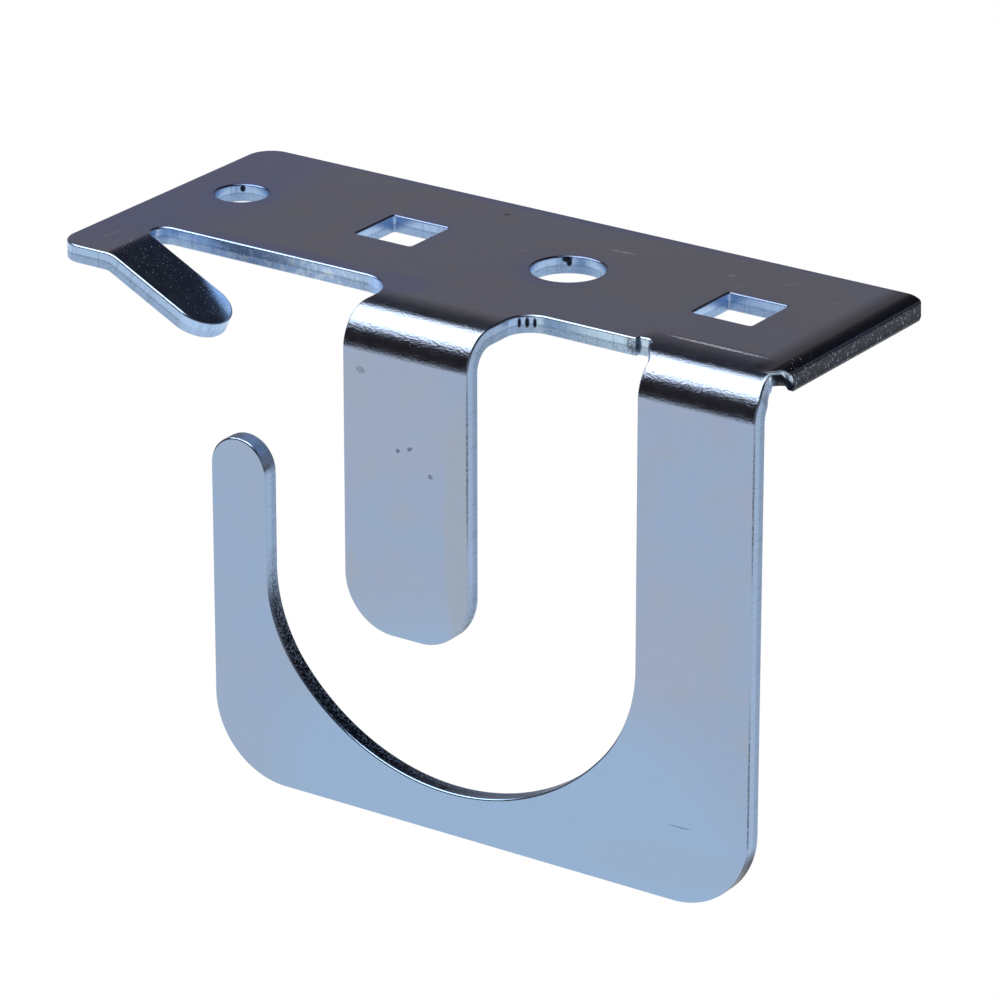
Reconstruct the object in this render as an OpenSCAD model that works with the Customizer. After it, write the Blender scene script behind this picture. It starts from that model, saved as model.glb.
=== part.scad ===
// One-piece stamped steel bracket: a flat fixing plate with a row of holes, a
// bent-down tongue, a short tab and a wide arm that turns back up as a hook.
// Millimetres. The origin is the centre of the large round hole, in the top
// face. X runs along the plate towards the arm, Y towards the back edge, Z up.

/* [Sheet] */
// Thickness of the sheet
sheet_t = 2; // [1.6:0.1:2.4]
// Inside radius of the tab and arm bends
bend_r = 2.3; // [1.4:0.1:2.4]

/* [Plate] */
// Length of the plate, left end to right end
plate_l = 85; // [84:0.1:88]
// Depth of the plate at the left, and of the tab's front face
plate_d = 37.5; // [36:0.1:40]
// Depth of the middle, back edge to slot and notch
middle_d = 27.3; // [26:0.1:28]
// Radius of the two left corners
corner_r = 3; // [1:0.1:4]

/* [Fixing holes] */
// Left end to the first hole
first_hole_x = 7.2; // [6:0.1:8]
// Spacing of the four holes
hole_pitch = 21.4; // [20:0.1:22]
// Back edge to the row of holes
hole_row_y = 14; // [12:0.1:16]
// Diameter of the small round hole
small_hole_d = 5.8; // [4:0.1:7]
// Diameter of the large round hole
large_hole_d = 8; // [6:0.1:10]
// Side of the square holes
square_hole_w = 7.2; // [5:0.1:9]

/* [Tongue] */
// Left end to the closed end of the slot
slot_x = 6.4; // [5.5:0.1:6.5]
// Width of the slot
slot_w = 3; // [2:0.1:4]
// Left end to the start of the tongue bend
tongue_bend_x = 6.6; // [6.5:0.1:7]
// Inside radius of the tongue bend
tongue_bend_r = 1.5; // [1:0.1:2]
// Downward angle of the tongue
tongue_angle = 26.5; // [10:0.5:35]
// Straight length of the tongue after its bend
tongue_l = 13; // [9:0.1:16]

/* [Tab] */
// Left end to the left side of the tab
tab_x = 37.6; // [37:0.1:39]
// Width of the tab
tab_w = 15.7; // [14:0.1:16]
// Top face to the lower end of the tab
tab_h = 35.3; // [28:0.1:44]
// Corner radius of the tab's lower end
tab_end_r = 6.1; // [2:0.1:7]
// Radius of the corner between slot and tab
root_r = 4.4; // [1:0.1:4.8]

/* [Notch] */
// Radius of the corner between notch and tab
notch_r = 3; // [1:0.1:4]
// Radius of the small relief beside the arm
relief_r = 1.3; // [1:0.1:1.5]
// Centre of the small relief to the left side of the arm
relief_x = 3.1; // [3:0.1:3.5]
// Edge of the notch to the centre of the small relief
relief_y = 0.5; // [0.3:0.1:0.8]
// Edge of the notch to the end of the slanted side beside the arm
slant_y = 3.1; // [2.4:0.1:3.6]

/* [Arm and hook] */
// Back edge to the front face of the arm and hook
arm_face_y = 32.6; // [32.4:0.1:34]
// Width of the arm
arm_w = 14.1; // [12:0.1:14.5]
// Top face to the bottom edge
drop = 59.2; // [56:0.1:70]
// Left end to the outer side of the hook
hook_x = 16.5; // [16:0.1:20]
// Width of the hook
hook_w = 7.2; // [5:0.1:9]
// Top face to the tip of the hook
tip_z = 19.8; // [17:0.1:28]
// Height of the web under the loop, at its lowest point
web_h = 5; // [3:0.1:8]
// Radius of the loop's bottom
loop_r = 25.7; // [24.5:0.1:30]
// Radius of the loop's two sides
loop_side_r = 17; // [8:0.1:18]
// Radius of the two outer lower corners
outer_r = 9.2; // [6:0.1:12]

/* [Right end] */
// Length of the turned-down lip past the start of its bend
lip_l = 1.7; // [1.5:0.1:2]
// Outside radius of the lip
lip_r = 3; // [2.5:0.1:3.2]
// Top face to the lower edge of the lip
lip_h = 2.7; // [2.6:0.1:3]
// Back edge to the centre of the corner relief
end_relief_y = 28.2; // [27.8:0.1:28.4]
// Depth of the corner relief, from the right end
end_relief_d = 1.1; // [0.8:0.1:1.4]
// Radius of the corner relief in the plate
end_relief_r = 1.2; // [1:0.1:1.4]
// Radius of the corner relief in the lip
lip_relief_r = 2.95; // [2.8:0.05:3.2]

/* [Hidden] */
$fn = 96;
cut = 1;
overlap_angle = 6;
hair = 0.01;
out_r = bend_r + sheet_t;
tab_bend_y = plate_d - out_r;
tab_x1 = tab_x + tab_w;
arm_bend_y = arm_face_y - out_r;
arm_x = plate_l - arm_w;
slot_r = slot_w / 2;
slot_y = middle_d + slot_r;
tongue_y = middle_d + slot_w;
tongue_w = plate_d - tongue_y;
tongue_out_r = tongue_bend_r + sheet_t;
lip_x = plate_l - lip_l;
end_relief_x = plate_l - end_relief_d;
large_hole_x = first_hole_x + 2 * hole_pitch;
// the loop: two side arcs that run into one flatter bottom arc
loop_x = hook_x + hook_w;
loop_w = arm_x - loop_x;
loop_mid_x = loop_x + loop_w / 2;
loop_cz = loop_r + web_h - drop;
side_cx = loop_w / 2 - loop_side_r;
side_cz = loop_cz - sqrt(pow(loop_r - loop_side_r, 2) - side_cx * side_cx);

// a flat outline, drawn from above, given the sheet's thickness under the top face
module flat_sheet() {
    translate([0, 0, -sheet_t])
        linear_extrude(sheet_t)
            children();
}

// an outline drawn from the front, as an upright sheet with its front face at depth y
module upright_sheet(y) {
    translate([0, sheet_t - y, 0])
        rotate([90, 0, 0])
            linear_extrude(sheet_t)
                children();
}

// a quarter bend from the plate down to an upright sheet with its front face at depth y
module down_bend(x0, x1, y) {
    translate([x0, out_r - y, -out_r])
        rotate([180, -90, 0])
            rotate_extrude(angle = 90)
                translate([bend_r, 0])
                    square([sheet_t, x1 - x0]);
}

// a cut straight down through the plate and the bends
module down_cut() {
    translate([0, 0, -out_r])
        linear_extrude(out_r + cut)
            children();
}

// the flat plate, seen from above, up to the roots of the tongue, tab, arm and lip
module plate_outline() {
    translate([corner_r, -middle_d])
        square([lip_x - corner_r, middle_d]);
    translate([0, corner_r - plate_d])
        square([tongue_bend_x, plate_d - 2 * corner_r]);
    translate([corner_r, -plate_d])
        square([tongue_bend_x - corner_r, corner_r]);
    translate([corner_r, -corner_r])
        circle(corner_r);
    translate([corner_r, corner_r - plate_d])
        circle(corner_r);
}

module small_hole() {
    translate([first_hole_x, -hole_row_y])
        circle(d = small_hole_d);
}

module large_hole() {
    translate([large_hole_x, -hole_row_y])
        circle(d = large_hole_d);
}

module square_hole(number) {
    translate([first_hole_x + number * hole_pitch, -hole_row_y])
        square(square_hole_w, center = true);
}

// the closed end of the slot behind the tongue
module slot_end() {
    translate([slot_x + slot_r, -slot_y])
        circle(slot_r);
    translate([slot_x + slot_r, -tongue_y])
        square([tongue_w + tongue_l, slot_w]);
}

module plate() {
    flat_sheet()
        difference() {
            plate_outline();
            small_hole();
            square_hole(1);
            large_hole();
            square_hole(3);
        }
}

// the turned-down lip at the right end, with its end rounded away at the corner relief
module end_lip() {
    difference() {
        rotate([90, 0, 0])
            linear_extrude(end_relief_y)
                intersection() {
                    translate([lip_x, -lip_r])
                        difference() {
                            circle(lip_r);
                            circle(lip_r - sheet_t);
                        }
                    translate([lip_x, -lip_h])
                        square([lip_l, lip_h]);
                }
        translate([lip_x + lip_l / 2, -end_relief_y, -lip_h])
            rotate([0, 90, 0])
                cylinder(r = lip_relief_r, h = lip_l);
    }
}

// the bend runs a little way past its end, round the start of the sloping part,
// which is narrower by a hair so that the two cross cleanly
module tongue() {
    translate([tongue_bend_x, -plate_d, -tongue_out_r]) {
        rotate([-90, -90, 0])
            rotate_extrude(angle = tongue_angle + overlap_angle)
                translate([tongue_bend_r, 0])
                    square([sheet_t, plate_d - slot_y]);
        rotate([0, tongue_angle, 0])
            translate([0, tongue_w / 2, tongue_bend_r - hair])
                linear_extrude(sheet_t) {
                    translate([0, hair - tongue_w / 2])
                        square([tongue_l - tongue_w / 2, tongue_w - 2 * hair]);
                    translate([tongue_l - tongue_w / 2, 0])
                        circle(tongue_w / 2 - hair);
                }
    }
}

// the tab's root, seen from above, with a rounded corner on each side
module tab_root_outline() {
    difference() {
        translate([tab_x - root_r, -middle_d - root_r])
            square([root_r, root_r]);
        translate([tab_x - root_r, -middle_d - root_r])
            circle(root_r);
    }
    translate([tab_x, -tab_bend_y])
        square([tab_w, tab_bend_y - middle_d]);
    difference() {
        translate([tab_x1, -middle_d - notch_r])
            square([notch_r, notch_r]);
        translate([tab_x1 + notch_r, -middle_d - notch_r])
            circle(notch_r);
    }
}

// the tab seen from the front, below its bend
module tab_outline() {
    translate([tab_x, tab_end_r - tab_h])
        square([tab_w, tab_h - tab_end_r - out_r]);
    translate([tab_x + tab_end_r, -tab_h])
        square([tab_w - 2 * tab_end_r, tab_end_r]);
    translate([tab_x + tab_end_r, tab_end_r - tab_h])
        circle(tab_end_r);
    translate([tab_x1 - tab_end_r, tab_end_r - tab_h])
        circle(tab_end_r);
}

module tab() {
    flat_sheet()
        tab_root_outline();
    down_bend(tab_x, tab_x1, plate_d);
    upright_sheet(plate_d)
        tab_outline();
}

// the U-shaped opening between hook and arm, open at the top
module loop_outline() {
    translate([loop_x, side_cz])
        square([loop_w, -side_cz]);
    translate([loop_mid_x - side_cx, side_cz])
        circle(loop_side_r);
    translate([loop_mid_x + side_cx, side_cz])
        circle(loop_side_r);
    intersection() {
        translate([loop_mid_x, loop_cz])
            circle(loop_r);
        polygon([
            [loop_mid_x, loop_cz],
            [loop_mid_x - 5 * side_cx, loop_cz - 5 * (loop_cz - side_cz)],
            [loop_mid_x + 5 * side_cx, loop_cz - 5 * (loop_cz - side_cz)]
        ]);
    }
}

// the arm's root and bend, with a small relief and a slanted side on its left
module arm_neck() {
    difference() {
        union() {
            translate([arm_x - relief_x, -arm_bend_y, -sheet_t])
                cube([plate_l - arm_x + relief_x, arm_bend_y - middle_d, sheet_t]);
            down_bend(arm_x - relief_x, plate_l, arm_face_y);
        }
        down_cut()
            polygon([
                [arm_x - relief_x - cut, -middle_d - relief_y],
                [arm_x - relief_x + relief_r, -middle_d - relief_y],
                [arm_x, -middle_d - slant_y],
                [arm_x, -arm_face_y - cut],
                [arm_x - relief_x - cut, -arm_face_y - cut]
            ]);
    }
}

// the outline of arm, web and hook, seen from the front
module hook_outline() {
    difference() {
        union() {
            translate([hook_x, outer_r - drop])
                square([plate_l - hook_x, drop - outer_r - out_r]);
            translate([hook_x + outer_r, -drop])
                square([plate_l - hook_x - 2 * outer_r, outer_r]);
            translate([hook_x + outer_r, outer_r - drop])
                circle(outer_r);
            translate([plate_l - outer_r, outer_r - drop])
                circle(outer_r);
        }
        loop_outline();
        translate([hook_x - cut, -tip_z - hook_w / 2])
            square([hook_w + 2 * cut, tip_z + hook_w / 2]);
    }
    translate([hook_x + hook_w / 2, -tip_z - hook_w / 2])
        circle(hook_w / 2);
}

module bracket() {
    color("lightsteelblue")
        translate([-large_hole_x, hole_row_y, 0])
            difference() {
                union() {
                    plate();
                    end_lip();
                    tongue();
                    tab();
                    arm_neck();
                    upright_sheet(arm_face_y)
                        hook_outline();
                }
                down_cut()
                    slot_end();
                down_cut()
                    translate([arm_x - relief_x, -middle_d - relief_y])
                        circle(relief_r);
                down_cut()
                    translate([end_relief_x + end_relief_r, -end_relief_y])
                        circle(end_relief_r);
            }
}

bracket();
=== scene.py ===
import logging
import math
from dataclasses import dataclass, field
from enum import Enum

import bpy
import numpy as np
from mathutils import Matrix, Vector
from mathutils.geometry import delaunay_2d_cdt


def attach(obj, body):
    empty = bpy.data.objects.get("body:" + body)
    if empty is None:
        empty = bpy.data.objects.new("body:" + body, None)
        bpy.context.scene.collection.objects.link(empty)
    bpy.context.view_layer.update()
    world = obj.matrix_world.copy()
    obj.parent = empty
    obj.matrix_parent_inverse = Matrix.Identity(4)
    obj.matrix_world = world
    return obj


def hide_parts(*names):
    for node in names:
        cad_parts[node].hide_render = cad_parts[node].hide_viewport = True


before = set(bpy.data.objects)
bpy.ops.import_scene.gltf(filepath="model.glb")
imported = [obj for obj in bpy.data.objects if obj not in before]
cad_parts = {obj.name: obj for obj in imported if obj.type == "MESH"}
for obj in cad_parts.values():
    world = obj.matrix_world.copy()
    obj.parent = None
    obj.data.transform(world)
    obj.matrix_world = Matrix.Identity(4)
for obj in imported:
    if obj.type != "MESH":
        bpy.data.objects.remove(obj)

log = logging.getLogger("stamped_bracket")
logging.basicConfig(level=logging.INFO, format="%(name)s: %(message)s")

MM = 0.001
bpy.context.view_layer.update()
# Two arcs that make one full round end are kept this far from touching, in millimetres.
HAIR = 1e-4

Pair = tuple[float, float]
Triple = tuple[float, float, float]
Colour = tuple[float, float, float]
Socket = bpy.types.NodeSocket


class Region(Enum):
    """The parts of the blank, each folded in its own way."""

    PLATE = 0
    TONGUE = 1
    TAB = 2
    ARM = 3
    LIP = 4


@dataclass
class Outline:
    """A closed line in the blank, with the sheet on its left.

    It is made of rounded corners and true arcs, joined by straights. Sizes are in millimetres.
    X runs right and Y runs back, from the plate's back left corner. step is the longest piece of
    the line, turn_step the largest turn between two pieces in radians, and touching the gap
    under which two items share a point.
    """

    step: float = 0.2
    turn_step: float = 0.09
    least_steps: int = 4
    touching: float = 0.01
    items: list[tuple[float, ...]] = field(default_factory=list)

    def corner(self, x: float, y: float, radius: float) -> "Outline":
        """Adds a corner at (x, y) rounded to the radius."""
        self.items.append((x, y, radius))
        return self

    def arc(self, cx: float, cy: float, radius: float, start: float, end: float) -> "Outline":
        """Adds an arc about (cx, cy) from the start angle to the end angle, in radians."""
        self.items.append((cx, cy, radius, start, end))
        return self

    @staticmethod
    def _ends(item: tuple[float, ...]) -> tuple[np.ndarray, np.ndarray]:
        """Finds the points that the neighbours of an item aim at.

        Args:
            item: a corner (x, y, radius) or an arc (cx, cy, radius, start, end).

        Returns:
            The item's first and last point.
        """
        if len(item) == 3:
            point = np.array(item[:2])
            return point, point
        cx, cy, r, a0, a1 = item
        return (
            np.array([cx + r * math.cos(a0), cy + r * math.sin(a0)]),
            np.array([cx + r * math.cos(a1), cy + r * math.sin(a1)]),
        )

    def _curve(self, item: tuple[float, ...], before: np.ndarray, after: np.ndarray) -> np.ndarray:
        """Samples one item.

        A corner of radius r between unit directions u (to the point before) and v (to the
        point after) has its tangent points at r / tan(half the angle between u and v).

        Args:
            item: a corner or an arc.
            before: the point that the line comes from.
            after: the point that the line goes to.

        Returns:
            Points along the item, shape (n, 2).
        """
        if len(item) == 3:
            p, r = np.array(item[:2]), item[2]
            u, v = before - p, after - p
            u, v = u / np.linalg.norm(u), v / np.linalg.norm(v)
            half = math.acos(float(np.clip(u @ v, -1, 1))) / 2
            middle = (u + v) / np.linalg.norm(u + v)
            c = p + middle * r / math.sin(half)
            s, e = p + u * r / math.tan(half) - c, p + v * r / math.tan(half) - c
            a0 = math.atan2(s[1], s[0])
            turn = (math.atan2(e[1], e[0]) - a0 + math.pi) % (2 * math.pi) - math.pi
            cx, cy, a1 = c[0], c[1], a0 + turn
        else:
            cx, cy, r, a0, a1 = item
        turned = abs(a1 - a0)
        count = max(self.least_steps, int(turned * r / self.step), int(turned / self.turn_step))
        a = np.linspace(a0, a1, count + 1)
        return np.stack([cx + r * np.cos(a), cy + r * np.sin(a)], -1)

    def points(self) -> np.ndarray:
        """Samples the whole line, with straights cut into steps.

        Returns:
            Points in order, shape (n, 2), the first not repeated at the end.
        """
        n = len(self.items)
        curves = [
            self._curve(
                self.items[i],
                self._ends(self.items[i - 1])[1],
                self._ends(self.items[(i + 1) % n])[0],
            )
            for i in range(n)
        ]
        out = []
        for i, curve in enumerate(curves):
            nxt = curves[(i + 1) % n][0]
            out.append(curve)
            gap = float(np.linalg.norm(nxt - curve[-1]))
            k = int(gap / self.step)
            if k > 1:
                t = np.linspace(0, 1, k + 1)[1:-1, None]
                out.append(curve[-1] + (nxt - curve[-1]) * t)
            elif gap < self.touching:
                out[-1] = curve[:-1]
        return np.concatenate(out)


@dataclass
class Folded:
    """Points of the folded sheet, as arrays of one shape.

    kind is the Region, place the point, up the face's normal, ex and ey the folded directions
    of the blank's X and Y, and bent how far the point is inside a bend, from 0 to 1.
    """

    kind: np.ndarray
    place: np.ndarray
    up: np.ndarray
    ex: np.ndarray
    ey: np.ndarray
    bent: np.ndarray


@dataclass
class Bracket:
    """The stamping: a flat blank with rolled punch edges, folded along its bends.

    The sizes are the construction's own, in millimetres, in the blank's coordinates.
    """

    # The sheet and the plate; middle is where the plate ends between the legs.
    sheet: float = 2.0
    bend: float = 4.3
    length: float = 85.0
    depth: float = 37.5
    middle: float = 27.3
    corner: float = 3.0
    # The slot's start and width, and the tongue that it cuts free.
    slot: Pair = (6.4, 3.0)
    tongue_start: float = 6.6
    tongue_bend: float = 3.5
    tongue_angle: float = math.radians(26.5)
    tongue_length: float = 13.0
    tongue_twist: float = 0.05
    # The tab: its left and right side, how far down it reaches, its corners and its left root.
    # Then the notch at its right, and the step between the notch and the arm.
    tab: Pair = (37.6, 53.3)
    tab_height: float = 35.3
    tab_corner: float = 6.1
    root: float = 4.4
    notch: float = 3.0
    notch_end: Pair = (67.25, 0.45)
    notch_step: tuple[Triple, ...] = (
        (67.45, -26.75, 0.3), (69.2, -26.75, 0.9), (69.2, -28.0, 0.6),
    )
    # The arm: its face and left side, the hook's left side and width, and the loop's radii.
    arm_face: float = 32.6
    arm_left: float = 70.9
    arm_corner: Pair = (-30.45, 1.0)
    end_corner: Pair = (-32.2, 3.0)
    drop: float = 59.2
    hook: Pair = (16.5, 7.2)
    tip: float = 19.8
    web: float = 5.0
    loop: float = 25.7
    loop_side: float = 17.0
    outer: float = 9.2
    # The rolled lip, and the round relief in its front: its centre's Y and Z and its radius.
    lip_bend: float = 3.0
    lip_length: float = 1.7
    lip_height: float = 2.7
    lip_front: float = -26.76
    lip_corner: float = 0.42
    lip_fade: float = 1.3
    relief: Triple = (-28.2, -2.7, 2.95)
    relief_fade: float = 4.0
    relief_front: float = 84.3
    relief_root: Triple = (84.25, -28.8, 1.5)
    relief_corner: float = 0.3
    # The holes: centre X and radius of the round ones, centre X of the square ones.
    holes_y: float = -14.0
    round_holes: tuple[Pair, ...] = ((7.2, 2.9), (50.0, 4.0))
    square_holes: tuple[float, ...] = (28.6, 71.4)
    square_half: float = 3.6
    square_corner: float = 0.3
    origin: Pair = (50.0, -14.0)
    # The punched edge: its upper and lower round, and the points of round, wall and round.
    rollover: float = 0.23
    lower_edge: float = 0.12
    edge_steps: tuple[int, int, int] = (8, 8, 5)
    # How far the face leans before a fold, and over what length and width.
    lead: float = math.radians(9.5)
    lead_in: Pair = (3.6, 4.8)
    lead_power: float = 1.2
    lead_left: float = 2.7
    lead_right: float = 82.3
    # The parts of the blank that belong to each fold: limits in X and Y.
    tongue_zone: Triple = (23.0, -40.0, -28.85)
    tab_zone: Triple = (35.0, 56.0, -76.0)
    arm_zone: Pair = (66.0, -42.0)
    # The faces' inner points: an open grid, and close rows at the folds.
    grid: float = 3.0
    grid_edge: float = 1.0
    close: float = 0.8
    bend_rows: int = 25
    lead_rows: tuple[int, int] = (9, 12)
    lead_from: float = 0.3
    fold_rows: int = 9
    tab_columns: Pair = (37.0, 54.1)
    arm_columns: Pair = (67.6, 85.1)
    tab_lead_columns: Pair = (36.2, 54.7)
    arm_lead_columns: Pair = (66.8, 83.6)
    tongue_lines: Triple = (-37.1, -29.0, 0.6)
    lip_lines: Pair = (-28.2, 0.0)

    def __post_init__(self) -> None:
        """Works out where each fold starts and how far the lip reaches along its face."""
        self.tab_start = self.depth - self.bend
        self.arm_start = self.arm_face - self.bend
        self.lip_start = self.length - self.lip_length
        self.quarter = self.bend * math.pi / 2
        self.lip_end = self.lip_start + self.lip_bend * math.asin(self.lip_length / self.lip_bend)

    def down(self, z: float, start: float) -> float:
        """Returns the blank's Y of height z on a sheet folded down from the start."""
        return z - start - self.quarter + self.bend

    def outer_loop(self) -> np.ndarray:
        """Draws the blank's outer line: plate, tongue, slot, tab, notch, arm, loop, hook and lip.

        Returns:
            Points with the sheet on their left, shape (n, 2).
        """
        t0, t1 = self.tab
        tab_end = self.down(-self.tab_height, self.tab_start)
        tip_x = self.tongue_start + self.tongue_bend * self.tongue_angle + self.tongue_length
        slot_x, slot_w = self.slot
        tongue_y = -self.middle - slot_w
        slot_r = slot_w / 2 - HAIR
        tip_r = (self.depth - self.middle - slot_w) / 2 - HAIR
        hx, hw = self.hook
        floor_y = self.down(-self.drop, self.arm_start)
        x0, x1 = hx + hw, self.arm_left
        mid, half = (x0 + x1) / 2, (x1 - x0) / 2
        loop_z = self.loop + self.web - self.drop
        side = half - self.loop_side
        side_z = loop_z - math.sqrt((self.loop - self.loop_side) ** 2 - side**2)
        turn = math.atan2(loop_z - side_z, side)
        loop_y, side_y = self.down(loop_z, self.arm_start), self.down(side_z, self.arm_start)
        tip_y = self.down(-self.tip - hw / 2, self.arm_start)
        line = Outline()
        line.corner(self.lip_end, 0, self.lip_corner).corner(0, 0, self.corner)
        line.corner(0, -self.depth, self.corner)
        line.corner(tip_x, -self.depth, tip_r).corner(tip_x, tongue_y, tip_r)
        line.corner(slot_x, tongue_y, slot_r).corner(slot_x, -self.middle, slot_r)
        line.corner(t0, -self.middle, self.root)
        line.corner(t0, tab_end, self.tab_corner).corner(t1, tab_end, self.tab_corner)
        line.corner(t1, -self.middle, self.notch)
        step_x, step_r = self.notch_end
        line.corner(step_x, -self.middle, step_r)
        for x, y, r in self.notch_step:
            line.corner(x, y, r)
        line.corner(x1, *self.arm_corner)
        line.arc(mid + side, side_y, self.loop_side, 0, -turn)
        line.arc(mid, loop_y, self.loop, -turn, turn - math.pi)
        line.arc(mid - side, side_y, self.loop_side, turn - math.pi, -math.pi)
        line.arc(hx + hw / 2, tip_y, hw / 2, 0, math.pi)
        line.corner(hx, floor_y, self.outer).corner(self.length, floor_y, self.outer)
        line.corner(self.length, *self.end_corner).corner(*self.relief_root)
        line.corner(self.relief_front, self.lip_front, self.relief_corner)
        line.corner(self.lip_end, self.lip_front, self.lip_corner)
        return line.points()

    def hole_loops(self) -> list[np.ndarray]:
        """Draws the holes' lines, clockwise, so that the sheet is on their left.

        Returns:
            One array of points per hole, each of shape (n, 2).
        """
        loops = []
        for x, r in self.round_holes:
            loops.append(Outline().arc(x, self.holes_y, r, 0, -2 * math.pi).points())
        for x in self.square_holes:
            h, y = self.square_half, self.holes_y
            line = Outline()
            for sx, sy in ((1, 1), (1, -1), (-1, -1), (-1, 1)):
                line.corner(x + sx * h, y + sy * h, self.square_corner)
            loops.append(line.points())
        return loops

    def region(self, x: np.ndarray, y: np.ndarray) -> np.ndarray:
        """Says which fold each point of the blank belongs to.

        Args:
            x, y: the blank's coordinates.

        Returns:
            Values of Region, in the shape of x.
        """
        out = np.full(x.shape, Region.PLATE.value)
        right, front, back = self.tongue_zone
        tongue = (x > self.tongue_start) & (x < right) & (y > front) & (y < back)
        left, right, front = self.tab_zone
        tab = (x > left) & (x < right) & (y < -self.tab_start) & (y > front)
        left, back = self.arm_zone
        arm = (y < -self.arm_start) & ((x > left) | (y < back)) & ~tab
        out[tongue] = Region.TONGUE.value
        out[tab] = Region.TAB.value
        out[arm] = Region.ARM.value
        out[(x > self.lip_start) & (y > -self.arm_start)] = Region.LIP.value
        return out

    def fold(self, x: np.ndarray, y: np.ndarray, w: np.ndarray) -> Folded:
        """Folds points of the blank at depth w under its top face.

        A fold of outer radius R that starts at s = 0 turns a point by a = s / R, up to the
        fold's angle, at radius R - w about the fold's axis; past it the sheet runs straight.
        Along the fold the face's normal is (sin a, cos a) and its direction (cos a, -sin a).

        Args:
            x, y: the blank's coordinates.
            w: depth under the top face.

        Returns:
            The folded points.
        """
        flat = np.stack([x, y, -w], -1)
        axes = [np.zeros(flat.shape) + np.eye(3)[i] for i in (2, 0, 1)]
        got = Folded(self.region(x, y), flat, *axes, np.zeros(x.shape))
        self.fold_legs(got, y, w)
        self.lean_plate(got, x, y)
        self.fold_tongue(got, x, w)
        self.fold_lip(got, x, y, w)
        return got

    def fold_legs(self, got: Folded, y: np.ndarray, w: np.ndarray) -> None:
        """Folds the tab and the arm down through a right angle.

        The face's normal leans a few degrees more than the fold at its start, where the press
        drew the sheet down. The extra lean is gone at its end.

        Args:
            got: the points, changed in place.
            y: the blank's Y.
            w: depth under the top face.
        """
        for which, start in ((Region.TAB, self.tab_start), (Region.ARM, self.arm_start)):
            m = got.kind == which.value
            s = -y[m] - start
            a = np.clip(s / self.bend, 0, math.pi / 2)
            past = np.maximum(s - self.quarter, 0)
            r = self.bend - w[m]
            got.place[m, 1] = -(start + r * np.sin(a))
            got.place[m, 2] = -self.bend + r * np.cos(a) - past
            lean = a + self.lead * (1 - a / (math.pi / 2))
            got.up[m] = np.stack([0 * a, -np.sin(lean), np.cos(lean)], -1)
            got.ey[m] = np.stack([0 * a, np.cos(a), np.sin(a)], -1)
            got.bent[m] = np.sin(a * 2) ** 0.5

    def lean_plate(self, got: Folded, x: np.ndarray, y: np.ndarray) -> None:
        """Leans the plate's normals towards the tab and the arm, in the last millimetres.

        The lean grows by a power of the way to the fold, and fades out at the fold's sides.

        Args:
            got: the points, changed in place.
            x, y: the blank's coordinates.
        """
        near = np.zeros(x.shape)
        tab = (self.tab_start, *self.tab, self.lead_in[0])
        arm = (self.arm_start, self.arm_left - self.lead_left, self.lead_right, self.lead_in[1])
        for start, left, right, run in (tab, arm):
            across = np.clip(np.minimum(x - left, right - x) + 1, 0, 1)
            along = np.clip(1 - (y + start) / run, 0, 1) ** self.lead_power
            near = np.maximum(near, across * along)
        m = got.kind == Region.PLATE.value
        lean = self.lead * near[m]
        got.up[m] = np.stack([0 * lean, -np.sin(lean), np.cos(lean)], -1)

    def fold_tongue(self, got: Folded, x: np.ndarray, w: np.ndarray) -> None:
        """Folds the tongue down, with a slight twist of its normals.

        Args:
            got: the points, changed in place.
            x: the blank's X.
            w: depth under the top face.
        """
        m = got.kind == Region.TONGUE.value
        s = x[m] - self.tongue_start
        a = np.clip(s / self.tongue_bend, 0, self.tongue_angle)
        past = np.maximum(s - self.tongue_bend * self.tongue_angle, 0)
        r = self.tongue_bend - w[m]
        out, down = past * math.cos(self.tongue_angle), past * math.sin(self.tongue_angle)
        got.place[m, 0] = self.tongue_start + r * np.sin(a) + out
        got.place[m, 2] = -self.tongue_bend + r * np.cos(a) - down
        twist = -self.tongue_twist * a / self.tongue_angle
        got.up[m] = np.stack([np.sin(a), twist, np.cos(a)], -1)
        got.ex[m] = np.stack([np.cos(a), 0 * a, -np.sin(a)], -1)

    def fold_lip(self, got: Folded, x: np.ndarray, y: np.ndarray, w: np.ndarray) -> None:
        """Rolls the lip down.

        The angle a runs to where the radius meets the trimmed end: asin(length / (R - w)) on
        the end face, acos((R - height) / (R - w)) on the lower face. The front is cut back by
        a round relief about the X axis, and the cut fades out along the lip.

        Args:
            got: the points, changed in place.
            x, y: the blank's coordinates.
            w: depth under the top face.
        """
        m = got.kind == Region.LIP.value
        r = self.lip_bend - w[m]
        trimmed = math.hypot(self.lip_length, self.lip_bend - self.lip_height)
        end = np.where(
            r > trimmed,
            np.arcsin(np.clip(self.lip_length / r, -1, 1)),
            np.arccos(np.clip((self.lip_bend - self.lip_height) / r, -1, 1)),
        )
        fade = np.clip((y[m] + self.arm_start) / self.lip_fade, 0, 1)
        along = np.clip((x[m] - self.lip_start) / (self.lip_end - self.lip_start), 0, 1)
        a = along * end * fade
        got.place[m, 0] = self.lip_start + r * np.sin(a)
        got.place[m, 2] = -self.lip_bend + r * np.cos(a)
        ry, rz, rr = self.relief
        cut = ry + np.sqrt(np.maximum(rr**2 - (got.place[m, 2] - rz) ** 2, 0))
        near = np.clip(1 - (y[m] - self.lip_front) / self.relief_fade, 0, 1) ** 2
        got.place[m, 1] = y[m] + near * np.maximum(cut - self.lip_front, 0)
        got.up[m] = np.stack([np.sin(a), 0 * a, np.cos(a)], -1)
        got.ex[m] = np.stack([np.cos(a), 0 * a, -np.sin(a)], -1)

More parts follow.
